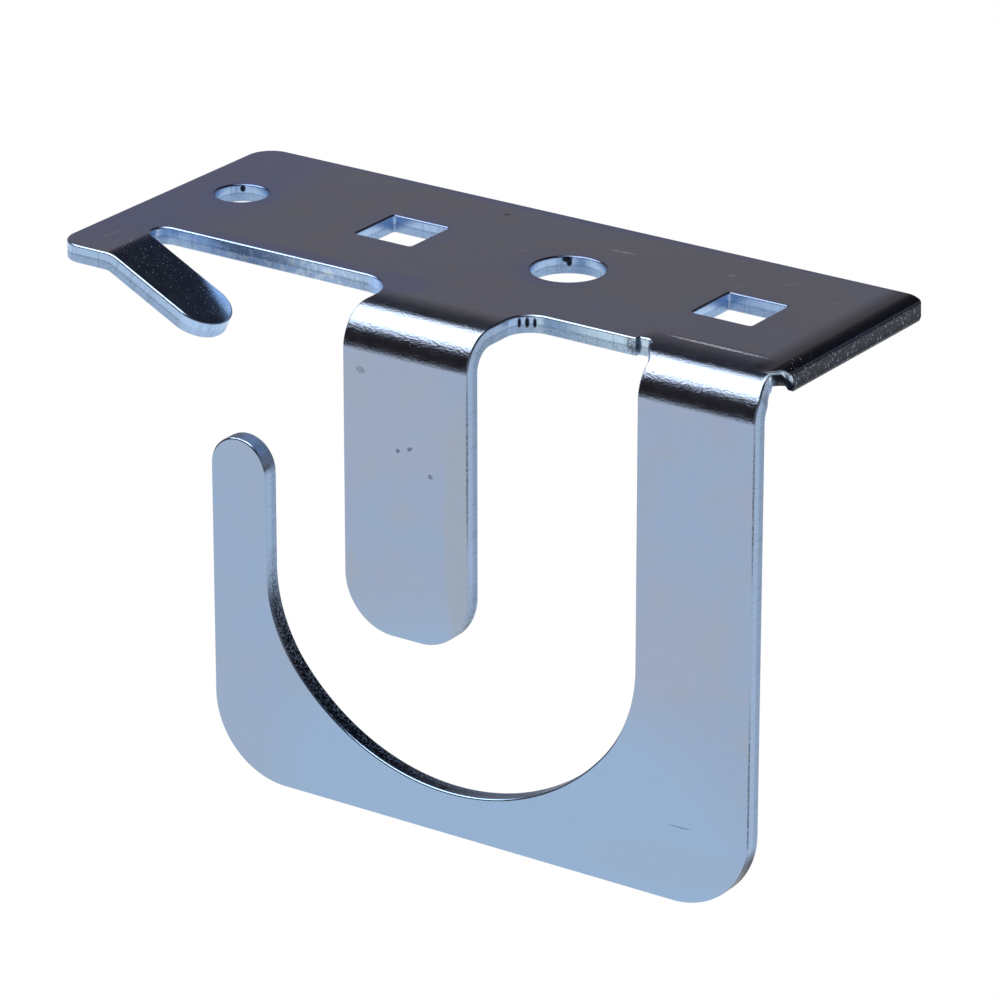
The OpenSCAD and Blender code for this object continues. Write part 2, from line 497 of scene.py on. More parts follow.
    def inward(self, loop: np.ndarray) -> np.ndarray:
        """Finds the direction into the sheet all along a loop: its tangent turned left.

        Args:
            loop: points in order, shape (n, 2).

        Returns:
            Unit directions, shape (n, 2).
        """
        t = np.roll(loop, -1, 0) - np.roll(loop, 1, 0)
        t /= np.linalg.norm(t, axis=1)[:, None]
        return np.stack([-t[:, 1], t[:, 0]], -1)

    def edge_profile(self) -> tuple[np.ndarray, np.ndarray, np.ndarray]:
        """Gives the punched edge's profile, from the top face round to the lower face.

        The roll-over is a quarter round: inset R (1 - sin f), depth R (1 - cos f), with f from
        0 to 90 degrees. The lower edge is a smaller one, with f from 90 to 180 degrees.

        Returns:
            inset, depth and turning angle f of each profile point.
        """
        upper, middle, lower = self.edge_steps
        f0 = np.linspace(0, math.pi / 2, upper)
        f1 = np.linspace(math.pi / 2, math.pi, lower)
        wall = np.linspace(self.rollover, self.sheet - self.lower_edge, middle)[1:-1]
        low = self.sheet - self.lower_edge * (1 + np.cos(f1))
        inset = [self.rollover * (1 - np.sin(f0)), 0 * wall, self.lower_edge * (1 - np.sin(f1))]
        depth = [self.rollover * (1 - np.cos(f0)), wall, low]
        angle = [f0, 0 * wall + math.pi / 2, f1]
        return np.concatenate(inset), np.concatenate(depth), np.concatenate(angle)

    def edge(self, loop: np.ndarray) -> dict[str, np.ndarray]:
        """Carries the punched edge's profile round one loop.

        Args:
            loop: the loop's points in the blank.

        Returns:
            place, normal, blank coordinates, edge weight and bend weight, each on a grid of
            points by profile.
        """
        sideways, end_reach = 0.7, 0.6
        inset, depth, f = self.edge_profile()
        n = self.inward(loop)
        x = loop[:, :1] + n[:, :1] * inset
        y = loop[:, 1:] + n[:, 1:] * inset
        w = np.broadcast_to(depth, x.shape).copy()
        got = self.fold(x, y, w)
        wall = -(got.ex * n[:, None, :1] + got.ey * n[:, None, 1:])
        lip = got.kind == Region.LIP.value
        end = lip & (np.abs(n[:, None, 0]) > sideways) & (x > self.lip_end - end_reach)
        radius = self.lip_bend - w
        trimmed = math.hypot(self.lip_length, self.lip_bend - self.lip_height)
        wall[end & (radius > trimmed)] = (1, 0, 0)
        wall[end & (radius <= trimmed)] = (0, 0, -1)
        front = lip & (n[:, None, 1] > sideways) & (x > self.relief_front)
        ry, rz, _ = self.relief
        towards = np.stack([0 * x, ry - got.place[..., 1], rz - got.place[..., 2]], -1)
        towards /= np.linalg.norm(towards, axis=-1)[..., None]
        wall[front] = towards[front]
        normal = np.cos(f)[:, None] * got.up + np.sin(f)[:, None] * wall
        normal /= np.linalg.norm(normal, axis=-1)[..., None]
        return {
            "place": got.place,
            "normal": normal,
            "blank": np.stack([x, y, w], -1),
            "edge": np.broadcast_to(np.sin(f), x.shape),
            "bent": got.bent,
        }

    def lattice(self) -> np.ndarray:
        """Lays out the points inside the faces: an open grid, with close rows across each bend.

        Returns:
            Points of the blank, shape (n, 2), some of them outside the sheet.
        """

        def rows(xs: np.ndarray, ys: np.ndarray) -> np.ndarray:
            """Returns all crossings of columns xs and rows ys."""
            return np.stack(np.meshgrid(xs, ys), -1).reshape(-1, 2)

        low = self.down(-self.drop, self.arm_start)
        half = self.grid / 2
        turn = self.tongue_bend * self.tongue_angle
        bend = np.linspace(0, self.quarter, self.bend_rows)
        tab_lead, arm_lead = (
            np.linspace(self.lead_from, run, n) for run, n in zip(self.lead_in, self.lead_rows)
        )
        tongue_x = self.tongue_start + np.linspace(0, turn, self.fold_rows)
        lip_x = np.linspace(self.lip_start, self.lip_end, self.fold_rows)
        grid_y = np.arange(low + half, -self.grid_edge, self.grid)
        return np.concatenate([
            rows(np.arange(half, self.length, self.grid), grid_y),
            rows(np.arange(*self.tab_columns, self.close), -self.tab_start - bend),
            rows(np.arange(*self.arm_columns, self.close), -self.arm_start - bend),
            rows(np.arange(*self.tab_lead_columns, self.close), -self.tab_start + tab_lead),
            rows(np.arange(*self.arm_lead_columns, self.close), -self.arm_start + arm_lead),
            rows(tongue_x, np.arange(*self.tongue_lines)),
            rows(lip_x, np.arange(*self.lip_lines, self.close)),
        ])

    @staticmethod
    def inside(points: np.ndarray, loops: list[np.ndarray]) -> np.ndarray:
        """Tells which points the loops enclose, by counting crossings of a line to the right.

        Args:
            points: points of the blank, shape (n, 2).
            loops: closed lines, each of shape (m, 2).

        Returns:
            True for each point inside, shape (n,).
        """
        batch = 1500
        hits = np.zeros(len(points), int)
        for loop in loops:
            a, b = loop, np.roll(loop, -1, 0)
            for part in np.array_split(np.arange(len(points)), max(1, len(points) // batch)):
                px, py = points[part, 0, None], points[part, 1, None]
                spans = (a[:, 1] > py) != (b[:, 1] > py)
                rise = np.where(a[:, 1] == b[:, 1], 1, b[:, 1] - a[:, 1])
                cross = a[:, 0] + (py - a[:, 1]) * (b[:, 0] - a[:, 0]) / rise
                hits[part] += (spans & (cross > px)).sum(1)
        return hits % 2 == 1

    def face(self, rings: list[np.ndarray]) -> tuple[np.ndarray, np.ndarray]:
        """Fills the face between rings with triangles.

        Args:
            rings: the outer ring and the holes' rings, in the blank.

        Returns:
            The inner points that were added, and triangles whose numbers count the rings'
            points first and the inner points after them.
        """
        from_edge, apart, sliver, batches = 0.22, 0.15, 1e-9, 12
        ring = np.concatenate(rings)
        inner = self.lattice()
        inner = inner[self.inside(inner, rings)]
        far = np.concatenate([
            np.sqrt(((part[:, None] - ring[None]) ** 2).sum(-1)).min(1) > from_edge
            for part in np.array_split(inner, batches)
        ])
        inner = inner[far]
        _, keep = np.unique(np.round(inner / apart), axis=0, return_index=True)
        inner = inner[np.sort(keep)]
        edges, start = [], 0
        for r in rings:
            i = np.arange(len(r))
            edges.append(np.stack([i, (i + 1) % len(r)], -1) + start)
            start += len(r)
        points = np.concatenate([ring, inner])
        flat = [Vector(p) for p in points.tolist()]
        lines = np.concatenate(edges).tolist()
        _, _, tris, origin, _, _ = delaunay_2d_cdt(flat, lines, [], 0, 1e-6, True)
        first = np.array([o[0] if o else 0 for o in origin])
        tris = first[np.array(tris)]
        middle = points[tris].mean(1)
        tris = tris[self.inside(middle, rings)]
        p = points[tris]
        area = np.cross(p[:, 1] - p[:, 0], p[:, 2] - p[:, 0])
        tris[area < 0] = tris[area < 0][:, ::-1]
        return inner, tris[np.abs(area) > sliver]

    def build(self) -> bpy.types.Object:
        """Folds faces and edges into one closed mesh, with exact normals.

        The edges come first, a grid of loop points by profile points each. The two faces then
        fill the rings that the profile starts and ends on.

        Returns:
            The bracket's object, at the origin.
        """
        loops = [self.outer_loop(), *self.hole_loops()]
        edges = [self.edge(loop) for loop in loops]
        across = edges[0]["place"].shape[1]
        place = [e["place"].reshape(-1, 3) for e in edges]
        normal = [e["normal"].reshape(-1, 3) for e in edges]
        blank = [e["blank"].reshape(-1, 3) for e in edges]
        punched = [e["edge"].reshape(-1) for e in edges]
        bent = [e["bent"].reshape(-1) for e in edges]
        starts = np.cumsum([0] + [len(p) for p in place])
        faces = []
        for start, loop in zip(starts, loops):
            i = np.arange(len(loop))
            j = (i + 1) % len(loop)
            k = np.arange(across - 1)
            a = start + i[:, None] * across + k
            b = start + j[:, None] * across + k
            quads = np.stack([a, a + 1, b + 1, b], -1).reshape(-1, 4)
            faces += [quads[:, :3], quads[:, [0, 2, 3]]]
        count = starts[-1]
        for column, depth in ((0, 0.0), (across - 1, self.sheet)):
            rings = [e["blank"][:, column, :2] for e in edges]
            index = np.concatenate([
                start + np.arange(len(loop)) * across + column for start, loop in zip(starts, loops)
            ])
            inner, tris = self.face(rings)
            got = self.fold(inner[:, 0], inner[:, 1], np.full(len(inner), depth))
            index = np.concatenate([index, count + np.arange(len(inner))])
            tris = index[tris]
            faces.append(tris if depth == 0 else tris[:, ::-1])
            place.append(got.place)
            normal.append(got.up if depth == 0 else -got.up)
            blank.append(np.concatenate([inner, np.full((len(inner), 1), depth)], 1))
            punched.append(np.zeros(len(inner)))
            bent.append(got.bent)
            count += len(inner)
        shift = np.array([*self.origin, 0.0])
        verts = (np.concatenate(place) - shift) * MM
        tris = np.concatenate(faces)
        mesh = bpy.data.meshes.new("bracket_sheet")
        mesh.from_pydata(verts.tolist(), [], tris.tolist())
        mesh.attributes.new("blank", "FLOAT_VECTOR", "POINT").data.foreach_set(
            "vector", (np.concatenate(blank) * MM).astype(np.float32).ravel())
        for name, values in (("punched", punched), ("bent", bent)):
            mesh.attributes.new(name, "FLOAT", "POINT").data.foreach_set(
                "value", np.concatenate(values).astype(np.float32))
        mesh.polygons.foreach_set("use_smooth", np.ones(len(tris), bool))
        mesh.normals_split_custom_set_from_vertices(np.concatenate(normal).tolist())
        mesh.update()
        piece = bpy.data.objects.new("bracket_sheet", mesh)
        bpy.context.scene.collection.objects.link(piece)
        return piece


class Nodes:
    """A small helper that adds shader nodes and joins them."""

    def __init__(self, tree: bpy.types.NodeTree) -> None:
        """Keeps the node tree and clears it."""
        self.tree = tree
        tree.nodes.clear()

    def add(self, kind: str, **settings: object) -> bpy.types.Node:
        """Adds a node.

        Args:
            kind: the node's type.
            settings: values of the node's own settings.

        Returns:
            The node.
        """
        node = self.tree.nodes.new(kind)
        for name, value in settings.items():
            setattr(node, name, value)
        return node

    def put(self, node: bpy.types.Node, key: str | int, value: object) -> None:
        """Feeds an input from another node's output, or sets it to a value.

        Args:
            node: the node that takes the value.
            key: the input's number or name.
            value: a socket or a fixed value.
        """
        if isinstance(value, bpy.types.NodeSocket):
            self.tree.links.new(value, node.inputs[key])
        else:
            node.inputs[key].default_value = value

    def math(self, operation: str, a: object, b: object) -> Socket:
        """Adds one Math node.

        Args:
            operation: what it does.
            a, b: the values it takes.

        Returns:
            Its result.
        """
        node = self.add("ShaderNodeMath", operation=operation)
        self.put(node, 0, a)
        self.put(node, 1, b)
        return node.outputs[0]

    def times(self, *factors: object) -> object:
        """Multiplies values.

        Args:
            factors: two or more sockets or fixed values.

        Returns:
            Their product.
        """
        total = factors[0]
        for factor in factors[1:]:
            total = self.math("MULTIPLY", total, factor)
        return total

    def vector(self, operation: str, a: object, b: tuple[float, ...] = ()) -> bpy.types.Node:
        """Adds one Vector Math node.

        Args:
            operation: what it does.
            a: the vector it takes.
            b: the fixed second vector, where it takes one.

        Returns:
            The node.
        """
        node = self.add("ShaderNodeVectorMath", operation=operation)
        self.put(node, 0, a)
        if b:
            node.inputs[1].default_value = b
        return node

    def noise(self, vector: object, scale: float, detail: float, rough: float) -> Socket:
        """Adds a Noise Texture.

        Args:
            vector: the points' place.
            scale: features to the metre.
            detail, rough: how many finer layers it has, and how strong they are.

        Returns:
            The noise's value.
        """
        node = self.add("ShaderNodeTexNoise")
        self.put(node, "Vector", vector)
        self.put(node, "Scale", scale)
        self.put(node, "Detail", detail)
        self.put(node, "Roughness", rough)
        return node.outputs["Fac"]

    def ramp(
        self, value: object, low: float, high: float, start: float = 0.0, end: float = 1.0
    ) -> Socket:
        """Carries a value smoothly from one span to another.

        Args:
            value: the value.
            low, high: the span it comes from, held at its ends.
            start, end: what low and high turn into.

        Returns:
            The value in its new span.
        """
        node = self.add("ShaderNodeMapRange", interpolation_type="SMOOTHSTEP")
        self.put(node, "Value", value)
        self.put(node, "From Min", low)
        self.put(node, "From Max", high)
        self.put(node, "To Min", start)
        self.put(node, "To Max", end)
        return node.outputs["Result"]

    def stretch(self, vector: object, scale: Triple) -> Socket:
        """Scales the place that a texture is looked up at.

        Args:
            vector: the points' place.
            scale: the factor along each axis.

        Returns:
            The scaled place.
        """
        node = self.add("ShaderNodeMapping")
        self.put(node, "Vector", vector)
        node.inputs["Scale"].default_value = scale
        return node.outputs[0]

    def spot(self, vector: object, mark: "Mark") -> Socket:
        """Finds how far points are inside a mark's turned ellipsoid.

        Args:
            vector: the points' place in the blank.
            mark: the mark.

        Returns:
            1 well inside the ellipsoid, fading to 0 at its skin.
        """
        core = 0.55
        node = self.add("ShaderNodeMapping", vector_type="TEXTURE")
        self.put(node, "Vector", vector)
        node.inputs["Location"].default_value = [c * MM for c in mark.centre]
        node.inputs["Rotation"].default_value = (0, 0, mark.turn)
        node.inputs["Scale"].default_value = [h * MM for h in mark.half]
        return self.ramp(self.vector("LENGTH", node.outputs[0]).outputs["Value"], 1.0, core)

    def blend(self, share: object, a: object, b: object, mode: str = "MIX") -> Socket:
        """Carries one colour towards another.

        Args:
            share: how far, from 0 to 1.
            a, b: the colours, each a socket or three fixed values.
            mode: the way of blending.

        Returns:
            The blended colour.
        """
        first, second, result = 6, 7, 2
        node = self.add("ShaderNodeMix", data_type="RGBA", blend_type=mode)
        self.put(node, 0, share)
        for key, colour in ((first, a), (second, b)):
            self.put(node, key, (*colour, 1.0) if isinstance(colour, tuple) else colour)
        return node.outputs[result]

    def between(self, share: object, a: object, b: object) -> Socket:
        """Carries one number towards another.

        Args:
            share: how far, from 0 to 1.
            a, b: the numbers.

        Returns:
            The number between them.
        """
        first, second = 2, 3
        node = self.add("ShaderNodeMix", data_type="FLOAT")
        for key, value in ((0, share), (first, a), (second, b)):
            self.put(node, key, value)
        return node.outputs[0]

    def mix(self, share: object, a: Socket, b: Socket) -> Socket:
        """Carries shader a towards shader b.

        Args:
            share: how far, from 0 to 1.
            a, b: the shaders.

        Returns:
            The mixed shader.
        """
        node = self.add("ShaderNodeMixShader")
        for key, value in enumerate((share, a, b)):
            self.put(node, key, value)
        return node.outputs[0]


@dataclass(frozen=True)
class Mark:
    """A scratch, nick, stain, tint or painted glint: a turned ellipsoid in the blank, in
    millimetres.
    """

    centre: Triple
    half: Triple
    turn: float = 0.0
    depth: float = 1.0


@dataclass(frozen=True)
class Grain:
    """A noise over the blank, of so many features to the metre, stretched by a scale."""

    scale: float
    detail: float
    rough: float = 0.5
    stretch: Triple | None = None


@dataclass(frozen=True)
class Fade:
    """Carries a value smoothly from low to high into start to end."""

    low: float
    high: float
    start: float = 0.0
    end: float = 1.0


Pattern = tuple[Grain, Fade]


@dataclass(frozen=True)
class Zone:
    """A part of the blank: in each fade, in millimetres, it goes from nothing to full."""

    x: tuple[Pair, ...] = ()
    y: tuple[Pair, ...] = ()


class Surface:
    """The sheet's own coordinates, and the lookups that the finish makes on them."""

    def __init__(self, n: Nodes, wall: Fade, torn: Fade) -> None:
        """Reads the mesh's attributes.

        Args:
            n: the material's nodes.
            wall: where along the edge's round the punched wall starts.
            torn: how deep under the top face the torn part of the wall starts, in millimetres.
        """
        self.n = n
        self.grains: dict[Grain, Socket] = {}
        self.blank = n.add("ShaderNodeAttribute", attribute_name="blank").outputs["Vector"]
        self.punched = n.add("ShaderNodeAttribute", attribute_name="punched").outputs["Fac"]
        self.bent = n.add("ShaderNodeAttribute", attribute_name="bent").outputs["Fac"]
        split = n.add("ShaderNodeSeparateXYZ")
        n.put(split, 0, self.blank)
        self.x, self.y, depth = split.outputs
        self.wall = self.fade(self.punched, wall)
        self.torn = n.ramp(depth, torn.low * MM, torn.high * MM)

    def fade(self, value: Socket, fade: Fade) -> Socket:
        """Returns a value carried through a fade."""
        return self.n.ramp(value, fade.low, fade.high, fade.start, fade.end)

    def grain(self, grain: Grain) -> Socket:
        """Lays a noise over the blank, once for all who ask for the same one.

        Args:
            grain: the noise's sizes.

        Returns:
            The noise's value, round 0.5.
        """
        if grain not in self.grains:
            place = self.n.stretch(self.blank, grain.stretch) if grain.stretch else self.blank
            self.grains[grain] = self.n.noise(place, grain.scale, grain.detail, grain.rough)
        return self.grains[grain]

    def pattern(self, pattern: Pattern) -> Socket:
        """Returns a noise carried through a fade."""
        return self.fade(self.grain(pattern[0]), pattern[1])

    def zone(self, zone: Zone) -> Socket:
        """Returns how far a point is inside a zone: the product of its fades."""
        fades = [(self.x, fade) for fade in zone.x] + [(self.y, fade) for fade in zone.y]
        return self.n.times(*[self.n.ramp(at, low * MM, high * MM) for at, (low, high) in fades])

    def marks(self, marks: tuple[Mark, ...]) -> Socket:
        """Finds how strongly the marks cover a point.

        Args:
            marks: the marks, each with its own depth.

        Returns:
            The strongest cover of any of them.
        """
        total: object = 0.0
        for mark in marks:
            part = self.n.times(self.n.spot(self.blank, mark), mark.depth)
            total = self.n.math("MAXIMUM", total, part)
        return total


@dataclass(frozen=True)
class BrightZinc:
    """Bright zinc plating with a blue cast over rolled and punched steel, with painted shade and
    painted highlights in places.
    """

    # Colours of the plating, the punched steel and the marks, with a dark colour for painted shade
    # and stains, and brighter wall colours for painted reflections.
    face: Colour = (0.322, 0.412, 0.575)
    face_warm: Colour = (0.345, 0.41, 0.545)
    purple: Colour = (0.22, 0.32, 0.74)
    brown: Colour = (0.35, 0.405, 0.49)
    cyan: Colour = (0.315, 0.455, 0.65)
    punched: Colour = (0.33, 0.46, 0.66)
    # painted reflection: a brighter copy of the punched colour, for the walls on the plate and
    # tongue
    punched_painted_reflection: Colour = (0.45, 0.63, 0.9)
    streak: Colour = (0.1485, 0.207, 0.297)
    fracture: Colour = (0.42, 0.56, 0.76)
    # a dark colour for painted shade at the lip and for stains and spots on the walls
    shade_and_stain: Colour = (0.014, 0.018, 0.03)
    sparkle: Colour = (0.66, 0.8, 0.96)
    stain: Colour = (0.03, 0.032, 0.045)
    scuff: Colour = (0.78, 0.8, 0.86)
    # painted reflection: a brighter wall colour for the notch's wall
    notch: Colour = (0.62, 0.82, 1.0)
    hole_rim: Colour = (0.08, 0.11, 0.2)

    # How strong the mottle and the painted shade before the lip are, and how dull each surface is.
    mottle_share: float = 0.5
    lip_painted_shade_share: float = 0.75
    punched_dull: float = 0.3
    torn_dull: float = 0.14
    scuffed_dull: float = 0.6
    glint_dull: float = 0.7

    # Heights in the bump, each a multiple of its distance in metres.
    streak_height: float = 1.1
    crumb_height: float = 2.2
    wave_height: float = 1.6
    flat_height: float = 0.35
    bent_height: float = 1.9
    bump: float = 0.000016

    # Noises, and the fades that carry them.
    mottle: Grain = Grain(700, 4, 0.6)
    fine: Grain = Grain(3300, 3, 0.55)
    waves: Grain = Grain(5500, 3, 0.6)
    streaks: Grain = Grain(3000, 3, 0.6, (1, 1, 0.08))
    crumbs: Grain = Grain(4200, 3, 0.7)

    wall: Fade = Fade(0.75, 0.98)
    torn: Fade = Fade(0.9, 1.25)
    rim: Fade = Fade(0.05, 0.3, 0.0, 0.8)
    mottle_shade: Fade = Fade(0.25, 0.75, 0.44, 0.56)
    mottle_dull: Fade = Fade(0.3, 0.7, 0.14, 0.21)
    streak_shade: Fade = Fade(0.5, 0.72, 0.0, 0.35)
    torn_crumbs: Fade = Fade(0.52, 0.68)
    relief_crumbs: Fade = Fade(0.58, 0.7)
    stained_crumbs: Fade = Fade(0.6, 0.5)

    clouds: Pattern = (Grain(55, 2), Fade(0.35, 0.65))
    flecks: Pattern = (Grain(1100, 3), Fade(0.5, 0.72, 0.0, 0.3))
    browned: Pattern = (Grain(240, 3), Fade(0.48, 0.68, 0.0, 0.5))
    hammered: Pattern = (Grain(1700, 3, 0.6, (1, 1, 0.7)), Fade(0.5, 0.6))
    stain_grain: Pattern = (Grain(6500, 3, 0.6), Fade(0.38, 0.55))
    scuff_grain: Pattern = (Grain(6500, 3, 0.6), Fade(0.42, 0.58))
    speck_grain: Pattern = (Grain(4200, 2), Fade(0.66, 0.7))

    # The parts of the blank that a colour is kept to.
    upper: Zone = Zone(y=((-29, -27),))
    # where the walls get the painted reflection
    left_walls: Zone = Zone(x=((35, 34),), y=((-41, -40),))
    plate_walls: Zone = Zone(y=((-30.5, -29.5),))
    # where the painted reflection brightens the notch's wall
    notch_wall_painted_reflection: Zone = Zone(x=((54.6, 55.6), (84, 83.5)), y=((-28.2, -27.8), (-26.0, -26.4)))
    # where painted shade darkens the lip's end and the relief's inside
    lip_end_painted_shade_zone: Zone = Zone(x=((83.7, 84.1),), y=((-28.5, -27.7),))
    # where painted shade darkens the top face before the lip
    lip_painted_shade_zone: Zone = Zone(x=((80.5, 83.4),), y=((-29, -27),))
    hole_row: Zone = Zone(y=((-19, -18.5), (-9, -9.5)))

    haloes: tuple[Mark, ...] = (
        Mark((7.2, -14, 0), (5.8, 5.8, 1.5), 0, 0.75),
        Mark((50, -14, 0), (7.2, 7.2, 1.5), 0, 0.65),
        Mark((28.6, -14, 0), (7.0, 7.0, 1.2), 0, 0.3),
        Mark((71.4, -14, 0), (7.0, 7.0, 1.2), 0, 0.3),
        Mark((37.0, -28.0, 0), (5.5, 3.6, 1.5), 0.2, 0.45),
        Mark((0, -14, 0), (15, 30, 2), 0, 0.5),
        Mark((21, -26.7, 0), (17, 1.8, 1.5), 0, 0.55),
        Mark((42, -0.2, 0), (46, 1.5, 1.5), 0, 0.5),
    )
    washes: tuple[Mark, ...] = (
        Mark((56, -89, 0), (42, 27, 3)),
        Mark((20, -60, 0), (9, 42, 3), 0, 0.35),
    )
    yellowed: tuple[Mark, ...] = (
        Mark((52.3, -57, 0), (2.4, 18, 1), 0, 0.8),
        Mark((50, -73.5, 0), (7, 2.6, 1), 0.5, 0.8),
        Mark((75, -86, 0), (13, 3.2, 1), 0.1, 0.22),
        Mark((63, -10, 0), (26, 12, 1), 0, 0.6),
    )
    wall_spots: tuple[Mark, ...] = (
        Mark((53.75, -28.65, 0.75), (0.26, 0.26, 0.7)),
        Mark((54.35, -28.05, 0.8), (0.3, 0.3, 0.75)),
        Mark((55.0, -27.6, 0.85), (0.24, 0.3, 0.7)),
        Mark((5.55, -11.6, 0.5), (0.42, 0.36, 0.5)),
        Mark((47.7, -10.75, 0.35), (0.8, 0.6, 0.5)),
        Mark((47.9, -10.65, 0.7), (0.4, 0.4, 0.6)),
        Mark((67.4, -27.0, 0.9), (0.35, 0.5, 1.1), 0, 0.8),
        Mark((46.3, -84.9, 0.6), (0.7, 0.5, 0.45), 0, 0.8),
        Mark((83.4, -86.2, 1.0), (3.0, 5.4, 4), 0, 0.9),
    )
    beaten: tuple[Mark, ...] = (
        Mark((23, -27.3, 1.1), (13, 0.8, 1.4)),
        Mark((10, -27.3, 0.8), (5, 0.8, 1.2), 0, 0.5),
    )
    wall_stains: tuple[Mark, ...] = (
        Mark((38, -74, 1.0), (23, 17, 2.2)),
        Mark((66.8, -27.2, 0.8), (0.9, 0.6, 1.2), 0, 0.7),
    )
    stains: tuple[Mark, ...] = (
        Mark((35.0, -3.5, 0), (0.5, 0.4, 1)),
        Mark((85.0, -76, 0.05), (0.16, 14, 0.2), 0, 0.8),
        Mark((85.0, -43, 0.05), (0.16, 12, 0.2), 0, 0.8),
        Mark((53.3, -49, 0.05), (0.16, 13, 0.2), 0, 0.8),
        Mark((39.9, -41.8, 0), (0.7, 0.5, 1), 0, 0.45),
        Mark((46.1, -49.3, 0), (0.45, 0.25, 1), 0.5),
        Mark((44.6, -49.8, 0), (0.3, 0.3, 1)),
        Mark((48.7, -51.8, 0), (0.4, 0.3, 1), 0, 0.8),
        Mark((76.6, -81.3, 0), (1.9, 0.13, 1), 0.03, 0.5),
    )
    scuffs: tuple[Mark, ...] = (
        Mark((51.9, -6.4, 0), (2.1, 0.3, 1), 0.06, 0.6),
        Mark((42.7, -12.1, 0), (0.9, 0.25, 1), 0.2, 0.4),
        Mark((65.4, -6.0, 0), (0.6, 0.3, 1), 0, 0.6),
        Mark((67.6, -8.5, 0), (0.9, 0.2, 1), 0, 0.4),
        Mark((72.0, -4.7, 0), (1.2, 0.25, 1), 0.5, 0.4),
        Mark((78.6, -7.0, 0), (0.8, 0.2, 1), 0.3, 0.35),
        Mark((75.8, -24.7, 0), (8.0, 0.3, 1)),
        Mark((3.6, -32.3, 0), (0.25, 2.4, 1), -0.08, 0.4),
    )
    # painted glints: bright spots on the relief's rim, the lip's front corner and the notch step
    painted_glints: tuple[Mark, ...] = (
        Mark((84.35, -28.2, 0.1), (0.6, 2.4, 0.5)),
        Mark((84.8, -26.75, 0.3), (0.9, 0.6, 0.8)),
        Mark((68.3, -26.75, 0.7), (0.5, 0.4, 1.2), 0, 0.8),
    )
    specks: tuple[Mark, ...] = (
        Mark((84.6, -24.0, 0.5), (1.6, 3.4, 2.5), 0, 0.8),
        Mark((84.9, -12, 1.0), (1.6, 14, 2.5), 0, 0.35),
        Mark((10.5, -33.8, 0), (6.5, 4.2, 0.8), 0, 0.6),
        Mark((16.5, -33.6, 0), (5.2, 4.0, 0.8), 0, 0.5),
    )

    def face_colour(self, s: Surface) -> Socket:
        """Colours the rolled faces: mottled blue grey, with purple, brown and cyan patches, and
        painted shade before the lip.

        Args:
            s: the sheet's surface.

        Returns:
            The colour, before polish, stains and scuffs.
        """
        n = s.n
        colour = n.blend(s.pattern(self.clouds), self.face, self.face_warm)
        mottle = s.pattern((self.mottle, self.mottle_shade))
        colour = n.blend(self.mottle_share, colour, mottle, "SOFT_LIGHT")
        colour = n.blend(n.times(s.pattern(self.flecks), s.zone(self.upper)), colour, self.purple)
        colour = n.blend(s.pattern(self.browned), colour, self.brown)
        colour = n.blend(s.marks(self.haloes), colour, self.purple)
        colour = n.blend(s.marks(self.washes), colour, self.cyan)
        colour = n.blend(s.marks(self.yellowed), colour, self.brown)
        # painted shade on the top face before the lip
        colour = n.blend(n.times(s.zone(self.lip_painted_shade_zone), self.lip_painted_shade_share), colour, self.shade_and_stain)
        rim = n.times(s.fade(s.punched, self.rim), s.zone(self.hole_row))
        return n.blend(rim, colour, self.hole_rim)

    def cut_colour(self, s: Surface) -> Socket:
        """Colours the punched walls: streaked above, crumbled below, with the punch's marks,
        painted shade and painted reflections.

        Args:
            s: the sheet's surface.

        Returns:
            The colour, before polish, stains and scuffs.
        """
        n = s.n
        # painted reflection: walls on the plate and tongue get the brighter copy of the punched
        # colour
        plate = n.math("MAXIMUM", s.zone(self.left_walls), s.zone(self.plate_walls))
        colour = n.blend(plate, self.punched, self.punched_painted_reflection)
        # painted reflection: the notch's wall gets a brighter colour
        colour = n.blend(s.zone(self.notch_wall_painted_reflection), colour, self.notch)
        crumbs = n.times(s.pattern((self.crumbs, self.torn_crumbs)), s.torn)
        colour = n.blend(crumbs, colour, self.fracture)
        colour = n.blend(s.pattern((self.streaks, self.streak_shade)), colour, self.streak)
        beaten = n.times(s.marks(self.beaten), s.pattern(self.hammered))
        colour = n.blend(beaten, colour, self.sparkle)
        # painted shade, with light crumbs, on the lip's end and in the relief
        crumbs = s.pattern((self.crumbs, self.relief_crumbs))
        relief = n.blend(crumbs, self.shade_and_stain, self.fracture)
        colour = n.blend(s.zone(self.lip_end_painted_shade_zone), colour, relief)
        stained = s.pattern((self.crumbs, self.stained_crumbs))
        colour = n.blend(n.times(s.marks(self.wall_stains), stained), colour, self.shade_and_stain)
        return n.blend(s.marks(self.wall_spots), colour, self.shade_and_stain)

    def height(self, s: Surface) -> Socket:
        """Lays out the bump: streaks and crumbs on the walls, waves in the bends, grain all over.

        Args:
            s: the sheet's surface.

        Returns:
            The height, in bump distances.
        """
        n = s.n
        streaks = n.times(s.grain(self.streaks), s.wall, self.streak_height)
        crumbs = n.times(s.grain(self.crumbs), s.torn, s.wall, self.crumb_height)
        waves = n.times(s.grain(self.waves), s.bent, self.wave_height)
        share = n.math("ADD", n.times(s.bent, self.bent_height), self.flat_height)
        fine = n.times(s.grain(self.fine), share)
        return n.math("ADD", n.math("ADD", streaks, crumbs), n.math("ADD", waves, fine))

    def material(self) -> bpy.types.Material:
        """Builds the plated steel: smooth on the faces, streaked and torn on the punched edges,
        with painted shade, painted reflections and painted glints in places.

        Returns:
            The material, for a mesh that carries the attributes blank, punched and bent.
        """
        made = bpy.data.materials.new("bright_zinc")
        made.use_nodes = True
        n = Nodes(made.node_tree)
        s = Surface(n, self.wall, self.torn)
